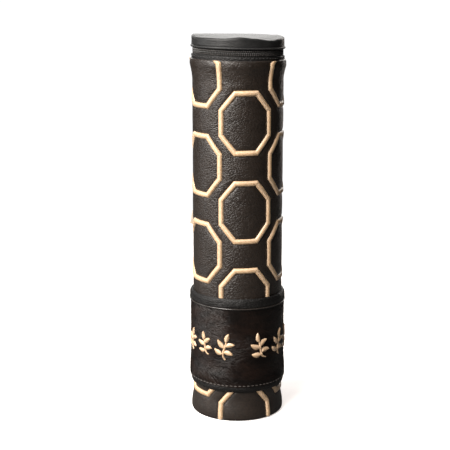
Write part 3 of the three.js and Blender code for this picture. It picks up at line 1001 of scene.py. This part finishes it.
# Sprigs of the foot band: azimuth, lean to the right in degrees, and scale
SPRIGS = (
    (-70, 10, 0.86), (-44, -12, 0.88), (-16, 14, 1.0), (28, -14, 1.02), (59, 12, 0.98),
    (84, -10, 1.0), (130, 12, 1.0), (156, -12, 1.0), (-178, 12, 1.0), (-132, -12, 1.0),
    (-106, 12, 0.95),
)
STEM = ((3.0, -9.4), (-2.6, -7.4), (1.4, 0.5), (0, 6.0))
# Leaves of a sprig: root, tip, bow and half width
LEAVES = (
    ((-0.6, -5.6), (-8.2, -3.2), 1.7, 2.35),
    ((0.2, -4.0), (8.0, -4.4), 1.7, 2.3),
    ((0.0, -0.2), (-7.2, 4.6), 1.5, 2.35),
    ((0.5, 1.0), (7.6, 4.2), 1.5, 2.3),
    ((0.1, 4.2), (0.8, 12.0), 1.0, 2.2),
)


def make_sprigs():
    """A running border of leafy sprigs in gold satin stitch."""
    base = lambda z: hide_radius(z) + 0.3
    middle = (HIDE_LOW + HIDE_HIGH) / 2
    for number, (azimuth, lean, scale) in enumerate(SPRIGS, start=1):
        bm = bmesh.new()
        x0, tilt = math.radians(azimuth) * HIDE_OUT, math.radians(lean)

        def at(point):
            x, z = point
            across = x * math.cos(tilt) + z * math.sin(tilt)
            up = z * math.cos(tilt) - x * math.sin(tilt)
            return (x0 + across * scale, middle + up * scale)

        stem(bm, [at(point) for point in STEM], 1.15 * scale, base)
        for root, tip, bow, width in LEAVES:
            leaf(bm, at(root), at(tip), bow, width * scale, base)
        bmesh.ops.recalc_face_normals(bm, faces=bm.faces[:])
        shear(bm, BAND_SLOPE)
        finish_piece(bm, f"sprig_{number}", "thread", "case", (), "embroidery_thread", sharp=80)


def make_tag():
    """A folded ribbon caught in the side seam."""
    low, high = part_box("seam_tag")
    middle = (low + high) / 2 / MM
    azimuth = azimuth_of(middle)
    bottom, top = low.z / MM, high.z / MM
    depth = 3.9

    def place(u, v):
        swing = math.sin(math.pi * u)
        out = BODY_R + 0.1 + depth * swing * (1 - 0.6 * v)
        side = 0.42 * math.cos(math.pi * u) * (1 + 0.3 * swing)
        lean = 0.35 * math.sin(v * 2.2)
        turned_by = math.degrees((side + lean) / BODY_R)
        return polar(out, azimuth + turned_by, bottom + (top - bottom) * v)

    bm = bmesh.new()
    patch(bm, 20, 12, place)
    bmesh.ops.solidify(bm, geom=bm.faces[:], thickness=0.22)
    bmesh.ops.recalc_face_normals(bm, faces=bm.faces[:])
    finish_piece(bm, "seam_ribbon", "ribbon", "case", ["seam_tag"], "ribbon", sharp=60)


def make_inside():
    """Velvet lining, rolled over the tube's rim, and the padded floor."""
    low, wall = PAD_HIGH + 0.3, LINING_OUT - 0.6
    section = [
        (LINING_OUT, low), (LINING_OUT, TUBE_HIGH - 0.2), (LINING_OUT + 0.6, TUBE_HIGH + 0.1),
        (LINING_OUT + 0.5, TUBE_HIGH + 0.5), (LINING_OUT - 0.1, TUBE_HIGH + 0.65),
        (wall - 0.2, TUBE_HIGH + 0.2), (wall - 0.1, TUBE_HIGH - 0.8), (wall, low),
    ]
    bm = turned(section, steps=160)
    finish_piece(bm, "velvet_lining", "velvet", "case", ["tube_lining"], "lining", sharp=60)
    pad = [
        (0, PAD_LOW), (PAD_OUT - 0.1, PAD_LOW), (PAD_OUT - 0.1, PAD_HIGH - 0.3),
        (PAD_OUT - 0.6, PAD_HIGH - 0.05), (PAD_OUT * 0.5, PAD_HIGH + 0.15), (0, PAD_HIGH + 0.2),
    ]
    bm = turned(fine(pad, 3), steps=128, closed=False)
    piece = finish_piece(
        bm, "velvet_floor_pad", "velvet", "case", ["base_pad"], "lining", sharp=60
    )
    inner = TUBE_OUT - 1.7
    tube = [(inner, TUBE_LOW), (TUBE_OUT, TUBE_LOW), (TUBE_OUT, TUBE_HIGH), (inner, TUBE_HIGH)]
    finish_piece(turned(tube, steps=160), "board_tube", "board", "case", ["inner_tube"], "board")


def make_sole():
    sole = [
        (0, 0), (SOLE_OUT - 0.5, 0), (SOLE_OUT, 0.35), (SOLE_OUT, SOLE_HIGH), (0, SOLE_HIGH),
    ]
    bm = turned(fine(sole, 4), steps=160, closed=False)
    finish_piece(bm, "leather_sole", "strip", "case", ["base_sole"], "leather")
    stitch_row(
        "sole_stitching", SOLE_OUT - 2.0, 0.12, 3.2, "case", "leather", 0, 0.12, "sewing"
    )


# ---------------------------------------------------------------- zip


def lip(name, out, low, high, thick, corner, step, width, words):
    """A soft strip round the mouth, leaning with the lid."""
    bm = turned(fine(rounded(out - thick, out, low, high, corner), step), steps=240)
    ripple(bm, lambda co: 0.12 * waves(co, width))
    shear(bm, sizes().lid_lean)
    finish_piece(bm, name, *words, sharp=60)


def make_collar():
    words = ("strip", "case", ["collar"], "binding_leather")
    lip("collar_strip", COLLAR_OUT, COLLAR_LOW, COLLAR_HIGH, 1.3, 0.6, 0.8, 7, words)


TAPE_END = 165  # azimuth at which the tapes stop, each side of the front
CHAIN_END = 150
COIL_MIDDLE = PANEL_IN + 0.3
COIL_HALF = 2.1
COIL_PITCH = 1.55
ZIP_SIDES = ((-1, "lower", "case"), (1, "upper", "lid"))


def make_tapes():
    for side, level, body in ZIP_SIDES:
        node = f"{level}_zip_tape"
        low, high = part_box(node)
        near = ZIP_PLANE + side * 0.1
        far = (low.z if side < 0 else high.z) / MM
        inner, outer = PANEL_IN - 0.15, PANEL_IN + 0.3
        section = [(inner, near), (outer, near), (outer, far), (inner, far)]
        bm = turned(section, steps=200, start=-TAPE_END, sweep=2 * TAPE_END)
        shear(bm, sizes().lid_lean)
        finish_piece(bm, f"zip_tape_{level}", "tape", body, [node], "zip_tape")


def make_coils():
    """Each tooth is one turn of the nylon coil: a rounded loop that reaches past the middle."""
    lean = sizes().lid_lean
    pitch = math.degrees(COIL_PITCH / (COIL_MIDDLE + 0.4))
    count = int(2 * CHAIN_END / pitch)
    for side, level, body in ZIP_SIDES:
        bm = bmesh.new()
        middle = ZIP_PLANE + side * (COIL_HALF - 0.5) / 2
        for i in range(count):
            azimuth = -CHAIN_END + (i + (0.5 if side > 0 else 0)) * pitch
            made = bmesh.ops.create_uvsphere(bm, u_segments=8, v_segments=6, radius=1.0)["verts"]
            for vert in made:
                nx, ny, nz = vert.co
                square = math.copysign(abs(nz) ** 0.45, nz)
                thick = 0.34 if side * nz > -0.5 else 0.46
                out = -(COIL_MIDDLE + 0.28) + ny * 0.62
                up = middle + square * (COIL_HALF + 0.5) / 2
                vert.co = turn(Vector((nx * thick, out, up)), azimuth)
        shear(bm, lean)
        name = f"zip_coil_{level}"
        finish_piece(bm, name, "nylon", body, [f"{level}_zip_coil"], "zip_nylon", sharp=180)
        stitch_row(
            name + "_sewing", COIL_MIDDLE + 0.85, ZIP_PLANE + side * 1.35, COIL_PITCH, body,
            "zip_tape", lean, 0.14, "sewing", -CHAIN_END, 2 * CHAIN_END,
        )


def at_slider(bm):
    """Turns a part made at the front to the slider's place on the zip."""
    for vert in bm.verts:
        vert.co = turn(vert.co, SLIDER_AZIMUTH)
        vert.co.z += ZIP_PLANE


def plate(bm, outline, near, thick, bevel=0.0):
    """A flat plate facing the front, from (across, up) points, with its edges bevelled."""
    face = bm.faces.new([bm.verts.new((x, -near, z)) for x, z in outline])
    made = bmesh.ops.extrude_face_region(bm, geom=[face])["geom"]
    moved = [g for g in made if isinstance(g, bmesh.types.BMVert)]
    bmesh.ops.translate(bm, vec=(0, -thick, 0), verts=moved)
    verts = list(face.verts) + moved
    edges = list({e for v in verts for e in v.link_edges if all(w in verts for w in e.verts)})
    if bevel:
        bmesh.ops.bevel(
            bm, geom=edges, offset=bevel, segments=2, profile=0.5, affect="EDGES", material=-1
        )


def slider_outline(long, shoulder, tail):
    """A slider plate, narrow at its tail; shoulder and tail are half widths."""
    half = long / 2
    upper = [
        (-half, tail - 0.9), (-half + 0.4, tail - 0.25), (-half + 1.2, tail),
        (half - 3, shoulder), (half - 1.6, shoulder - 0.1), (half - 0.5, shoulder - 0.9),
        (half, shoulder - 1.9),
    ]
    return upper + [(x, -z) for x, z in reversed(upper)]


def make_slider():
    """The zip's slider: outer and inner plates, the wedge between them and the pull's bridge."""
    plate_in = FLANGE_OUT + 0.35
    bm = bmesh.new()
    plate(bm, slider_outline(9.0, 3.0, 2.5), plate_in, 0.9, 0.22)
    neck = plate_in - COIL_MIDDLE - 1.0
    plate(bm, slider_outline(8.2, 2.1, 1.9), COIL_MIDDLE + 1.25, neck, 0.15)
    wedge = [(2.0, 0.45), (0.9, 0.0), (2.0, -0.45), (4.1, -0.9), (4.1, 0.9)]
    plate(bm, wedge, COIL_MIDDLE - 0.7, 2.2, 0.08)
    plate(bm, slider_outline(8.6, 2.2, 1.9), COIL_MIDDLE - 1.5, 0.7, 0.15)
    for x in (-2.6, 2.6):
        foot = [(x - 0.5, -0.8), (x + 0.5, -0.8), (x + 0.5, 0.8), (x - 0.5, 0.8)]
        plate(bm, foot, plate_in + 0.7, PIVOT_OUT + 0.6 - plate_in - 0.7, 0.25)
    bar = bmesh.ops.create_cone(
        bm, cap_ends=True, segments=16, radius1=0.6, radius2=0.6, depth=5.2
    )["verts"]
    for vert in bar:
        vert.co = Vector((vert.co.z, -PIVOT_OUT + vert.co.x, vert.co.y))
    bmesh.ops.recalc_face_normals(bm, faces=bm.faces[:])
    at_slider(bm)
    finish_piece(bm, "slider_body", "metal", "slider", ["zip_slider"], "zip_metal", sharp=35)


def make_pull():
    """The pull: an eye curled round the bridge bar, and a round-ended tab with a raised rim."""
    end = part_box("zip_pull")[0].z / MM - ZIP_PLANE
    tip = 2.8  # radius of the tab's round end
    inner_r, outer_r, half = 0.9, 1.45, 1.7
    section = [
        (inner_r, -half), (outer_r - 0.15, -half), (outer_r, -half + 0.2),
        (outer_r, half - 0.2), (outer_r - 0.15, half), (inner_r, half),
    ]
    bm = turned(section, steps=24)
    for vert in bm.verts:
        x, y, z = vert.co
        vert.co = Vector((z, y - PIVOT_OUT, x))

    def side(z):
        top = 1.6 + 1.2 * smooth((-z - 2.4) / 4.5)
        round_off = end + tip - z
        return top if round_off < 0 else math.sqrt(max(0.0, tip**2 - round_off**2))

    heights = [-1.2 - (abs(end) - 1.2) * (i / 26) for i in range(27)]
    outline = [(-side(z), z) for z in heights] + [(side(z), z) for z in reversed(heights[:-1])]
    plate(bm, outline, PIVOT_OUT - 0.35, 0.7)
    rim = [(side(z) - 0.35, z) for z in heights[6:-1]]
    for sign in (-1, 1):
        strip = [(sign * (x - 0.3), z) for x, z in rim]
        strip += [(sign * (x + 0.3), z) for x, z in reversed(rim)]
        plate(bm, strip, PIVOT_OUT - 0.45, 0.9)
    bmesh.ops.remove_doubles(bm, verts=bm.verts[:], dist=WELD)
    bmesh.ops.recalc_face_normals(bm, faces=bm.faces[:])
    at_slider(bm)
    finish_piece(bm, "pull_tab", "metal", "pull", ["zip_pull"], "zip_metal", sharp=35)


STRAP_REACH = 20.0  # degrees each side of the back that the hinge strap covers


def make_hinge():
    """One strip of leather from the hem to the lid's wall."""
    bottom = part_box("hinge_lower_leaf")[0].z / MM + 0.1
    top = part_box("hinge_upper_leaf")[1].z / MM

    def place(u, v):
        corner = 2.2 * max(0.0, 1 - min(v, 1 - v) / 0.12) ** 2
        reach = STRAP_REACH - math.degrees(corner / HINGE.y)
        wave = 0.08 * math.sin(u * 17) * math.sin(v * 9)
        out = HINGE.y - 0.62 + wave
        return polar(out, 180 + reach * (2 * u - 1), bottom + (top - bottom) * v)

    bm = bmesh.new()
    patch(bm, 48, 40, place)
    bmesh.ops.solidify(bm, geom=bm.faces[:], thickness=-0.6)
    bmesh.ops.recalc_face_normals(bm, faces=bm.faces[:])
    nodes = ["hinge_lower_leaf", "hinge_upper_leaf"]
    piece = finish_piece(bm, "hinge_strap", "strip", None, nodes, "binding_leather", sharp=60)
    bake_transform(piece)


# ---------------------------------------------------------------- lid


# The lid's soft rim, round the lid: azimuth and height above or below its line
RIM_WAVE = (
    (-180, -0.1), (-150, 0.2), (-125, 0.7), (-100, 0.6), (-86, 0.3), (-66, -0.7), (-20, -0.9),
    (5, 0.3), (20, -0.4), (41, -1.6), (50, -1.6), (61, -0.9), (74, -0.6), (88, 0.2), (110, 0.1),
    (135, -0.3), (180, -0.1),
)


def lid_wave(azimuth):
    """How far the lid's soft rim stands above or below its line at an azimuth."""
    for (a0, h0), (a1, h1) in zip(RIM_WAVE, RIM_WAVE[1:]):
        if azimuth <= a1:
            return h0 + (h1 - h0) * smooth((azimuth - a0) / (a1 - a0))
    return RIM_WAVE[-1][1]


def make_lid():
    wall_in = LID_OUT - 1.3
    section = [
        (0, CROWN_LOW + 0.4), (wall_in, CROWN_LOW + 0.4), (wall_in, LID_LOW),
        (LID_OUT, LID_LOW), (LID_OUT + 0.05, LID_LOW + 3), (LID_OUT - 0.05, CROWN_LOW - 0.2),
        (LID_OUT - 0.35, CROWN_LOW + 0.7), (LID_OUT - 1.1, CROWN_LOW + 1.15),
        (LID_OUT - 3, CROWN_LOW + 1.2), (LID_OUT * 0.75, CROWN_LOW + 1.15),
        (LID_OUT * 0.45, CROWN_LOW + 1.3), (0, CROWN_LOW + 1.3),
    ]
    bm = turned(fine(section, 1.0), steps=288, closed=False)
    for vert in bm.verts:
        co = vert.co
        radius = math.hypot(co.x, co.y)
        upper = smooth((co.z - LID_LOW - 1) / 5)
        co.z += upper * smooth((radius - 14) / 20) * lid_wave(azimuth_of(co))
        co.z += upper * (0.3 * ring_waves(co, 13, 3) + 0.06 * ring_waves(co, 5, 9))
        if radius > wall_in + 0.3 and co.z < CROWN_LOW + 1:
            hollow = 0.1 * math.sin(math.pi * smooth((co.z - LID_LOW) / 6))
            grow(co, 1 + (0.13 * waves(co, 6, 1.5) - hollow) / radius)
    shear(bm, sizes().lid_lean)
    nodes = ["lid_wall", "lid_top"]
    piece = finish_piece(bm, "lid_skin", "lid", "lid", nodes, "lid_leather", sharp=70)
    words = ("lid", "lid", ["lid_flange"], "lid_leather")
    lip("lid_lip", FLANGE_OUT, FLANGE_LOW, FLANGE_HIGH, 1.8, 0.8, 0.6, 6, words)


def make_lid_inside():
    outer, low, high = span("lid_lining")
    section = [
        (0, high - 0.7), (outer - 1.6, high - 0.7), (outer - 0.8, high - 1.4),
        (outer - 0.7, low + 0.3), (outer - 0.35, low), (outer, low + 0.3), (outer, high), (0, high),
    ]
    bm = turned(fine(section, 2.0), steps=160, closed=False)
    finish_piece(bm, "lid_velvet", "velvet", "lid", ["lid_lining"], "lining", sharp=60)
    near, far, edge = high + 0.05, high + 0.5, outer - 0.4
    bm = turned([(0, near), (edge, near), (edge, far), (0, far)], steps=160, closed=False)
    finish_piece(bm, "lid_stiffener", "board", "lid", ["lid_board"], "board")


CARRIED = {
    "base_board": "board", "zip_bottom_stop": "metal", "lower_top_stop": "metal",
    "upper_top_stop": "metal",
}


def dress_carried_nodes():
    """The small and hidden CAD parts keep their shape and take a finish."""
    for name, material in CARRIED.items():
        node = frame["nodes"][name]
        node.data.materials.clear()
        node.data.materials.append(MATERIALS[material])


# ---------------------------------------------------------------- stage


# Softboxes: name, degrees to the left of the front, elevation, distance, width and height, power,
# colour
SOFTBOXES = (
    ("key_softbox", 44, 36, 1.4, (1.2, 0.85), 60, "fffaf4"),
    ("side_softbox", 92, 12, 1.3, (0.4, 1.1), 6, "ffffff"),
    ("overhead_softbox", 0, 85, 1.5, (1.4, 1.4), 8, "ffffff"),
    ("rim_strip", -152, 16, 1.2, (0.2, 1.2), 1.4, "fff2e8"),
)
LENS = 91.8  # millimetres, on a 36 mm sensor
CAMERA_PLACE = (-0.0099, -0.887, 0.341)
CAMERA_DROP = 12.12  # degrees below level


def make_stage():
    """Pale floor, camera, softboxes and a white backdrop that glows only behind the case."""
    scene = bpy.context.scene
    bm = bmesh.new()
    bmesh.ops.create_circle(bm, cap_ends=True, segments=96, radius=750)
    bmesh.ops.translate(bm, vec=(0, 0, -0.02), verts=bm.verts[:])
    finish_piece(bm, "studio_floor", "floor", None)

    camera = bpy.data.objects.new("camera", bpy.data.cameras.new("camera"))
    scene.collection.objects.link(camera)
    camera.data.lens = LENS
    camera.data.sensor_width = 36
    camera.location = CAMERA_PLACE
    camera.rotation_euler = (math.radians(90 - CAMERA_DROP), 0, 0)
    scene.camera = camera

    for softbox in SOFTBOXES:
        add_softbox(*softbox)

    world = bpy.data.worlds.new("studio")
    scene.world = world
    world.use_nodes = True
    tree = world.node_tree
    tree.nodes.clear()
    place = add(tree, "TexCoord")
    parts = add(tree, "SeparateXYZ", Vector=place.outputs["Generated"])
    behind = add(
        tree, "MapRange", Value=parts.outputs["Y"], _1=0.8, _2=0.9, _3=0.05, _4=3.3
    )
    above = add(
        tree, "MapRange", Value=parts.outputs["Z"], _1=0.04, _2=0.14, _3=0.05, _4=1.0
    )
    glow = add(tree, "Math", {"operation": "MULTIPLY"}, _0=behind, _1=above)
    lighting = add(tree, "Background", Strength=glow, Color=linear("fffdfa"))
    backdrop = add(tree, "Background", Strength=1.05, Color=linear("ffffff"))
    seen = add(tree, "LightPath").outputs["Is Camera Ray"]
    mixed = add(tree, "MixShader", Fac=seen, _1=lighting, _2=backdrop)
    add(tree, "OutputWorld", Surface=mixed)
    scene.view_settings.view_transform = "Standard"


def add_softbox(name, azimuth, elevation, distance, spread, power, shade):
    """A softbox aimed at the middle of the case."""
    target = Vector((0, 0, 0.15))
    up = math.radians(elevation)
    level = polar(distance * math.cos(up), -azimuth, 0)
    place = target + level + Vector((0, 0, distance * math.sin(up)))
    light = bpy.data.lights.new(name, "AREA")
    light.shape = "RECTANGLE"
    light.size, light.size_y = spread
    light.energy = power
    light.color = linear(shade)[:3]
    lamp = bpy.data.objects.new(name, light)
    bpy.context.scene.collection.objects.link(lamp)
    lamp.location = place
    lamp.rotation_euler = (target - place).to_track_quat("-Z", "Y").to_euler()
    lamp.visible_camera = False


# ---------------------------------------------------------------- operators


def run(*steps):
    for step in steps:
        step()
    return {"FINISHED"}


class SCROLLCASE_OT_stage(bpy.types.Operator):
    """Mix the materials and set up the camera, floor and lights"""

    bl_idname = "scroll_case.stage"
    bl_label = "Stage"

    def execute(self, context):
        return run(make_materials, make_stage)


class SCROLLCASE_OT_panels(bpy.types.Operator):
    """Build the upper and lower leather panels, the hem's edge and the sole"""

    bl_idname = "scroll_case.panels"
    bl_label = "Leather panels"

    def execute(self, context):
        return run(make_upper_panel, make_hem_edge, make_lower_panel, make_sole)


class SCROLLCASE_OT_octagons(bpy.types.Operator):
    """Stitch the satin octagons on both panels"""

    bl_idname = "scroll_case.octagons"
    bl_label = "Octagon stitching"

    def execute(self, context):
        return run(make_octagons)


class SCROLLCASE_OT_band(bpy.types.Operator):
    """Build the hide, its hair and bindings, and the rows of topstitching"""

    bl_idname = "scroll_case.band"
    bl_label = "Hide band"

    def execute(self, context):
        return run(make_hide, make_hair, make_bindings, make_stitch_rows)


class SCROLLCASE_OT_sprigs(bpy.types.Operator):
    """Embroider the sprigs round the band"""

    bl_idname = "scroll_case.sprigs"
    bl_label = "Sprigs"

    def execute(self, context):
        return run(make_sprigs)


class SCROLLCASE_OT_tag(bpy.types.Operator):
    """Fold the ribbon in the side seam"""

    bl_idname = "scroll_case.tag"
    bl_label = "Seam ribbon"

    def execute(self, context):
        return run(make_tag)


class SCROLLCASE_OT_inside(bpy.types.Operator):
    """Build the tube and the velvet inside the case and the lid"""

    bl_idname = "scroll_case.inside"
    bl_label = "Inside"

    def execute(self, context):
        return run(make_inside, make_lid_inside)


class SCROLLCASE_OT_zip(bpy.types.Operator):
    """Build the collar, tapes, coils, slider and pull"""

    bl_idname = "scroll_case.zip"
    bl_label = "Zip"

    def execute(self, context):
        return run(make_collar, make_tapes, make_coils, make_slider, make_pull)


class SCROLLCASE_OT_lid(bpy.types.Operator):
    """Build the soft lid, its lip and the hinge strap"""

    bl_idname = "scroll_case.lid"
    bl_label = "Lid"

    def execute(self, context):
        return run(make_lid, make_hinge)


class SCROLLCASE_OT_carried(bpy.types.Operator):
    """Give the CAD parts that stay their finishes"""

    bl_idname = "scroll_case.carried"
    bl_label = "Carried parts"

    def execute(self, context):
        return run(dress_carried_nodes)


OPERATORS = (
    SCROLLCASE_OT_stage, SCROLLCASE_OT_panels, SCROLLCASE_OT_octagons, SCROLLCASE_OT_band,
    SCROLLCASE_OT_sprigs, SCROLLCASE_OT_tag, SCROLLCASE_OT_inside, SCROLLCASE_OT_zip,
    SCROLLCASE_OT_lid, SCROLLCASE_OT_carried,
)


class SCROLLCASE_PT_panel(bpy.types.Panel):
    """Lists the scroll case's operators"""

    bl_label = "Scroll Case"
    bl_space_type = "VIEW_3D"
    bl_region_type = "UI"
    bl_category = "Scroll Case"

    def draw(self, context):
        for cls in OPERATORS:
            self.layout.operator(cls.bl_idname)


CLASSES = (ScrollCaseColours, ScrollCaseSizes, *OPERATORS, SCROLLCASE_PT_panel)


def register():
    for cls in CLASSES:
        bpy.utils.register_class(cls)
    bpy.types.Scene.scroll_case_colours = bpy.props.PointerProperty(type=ScrollCaseColours)
    bpy.types.Scene.scroll_case_sizes = bpy.props.PointerProperty(type=ScrollCaseSizes)


def unregister():
    del bpy.types.Scene.scroll_case_sizes
    del bpy.types.Scene.scroll_case_colours
    for cls in reversed(CLASSES):
        bpy.utils.unregister_class(cls)


def main():
    register()
    for cls in OPERATORS:
        name = cls.bl_idname.split(".")[1]
        getattr(bpy.ops.scroll_case, name)()


if __name__ == "__main__":
    main()
